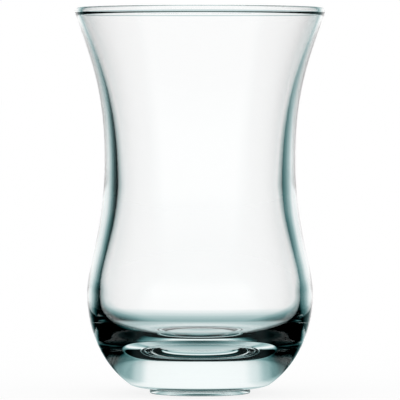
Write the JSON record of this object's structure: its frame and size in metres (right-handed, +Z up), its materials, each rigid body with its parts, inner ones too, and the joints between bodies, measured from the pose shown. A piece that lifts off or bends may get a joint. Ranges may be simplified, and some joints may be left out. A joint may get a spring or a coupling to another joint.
{
  "type": "tea glass",
  "caption": "Hourglass tea glass of clear glass: flared rounded lip, narrow waist, round bulb and a thick solid base on a small flat foot.",
  "frame": {"origin": "centre of the resting ring, on the surface that the glass stands on", "axes": "+Z up along the glass's axis of revolution; X and Y are alike, because the glass is round"},
  "size_m": [0.0598, 0.0598, 0.092],
  "materials": {
    "clear_glass": "clear soda-lime glass with a faint blue-green tint in its thick parts, fire-polished"
  },
  "bodies": {
    "root": {"glass_body": "clear_glass"}
  },
  "joints": []
}
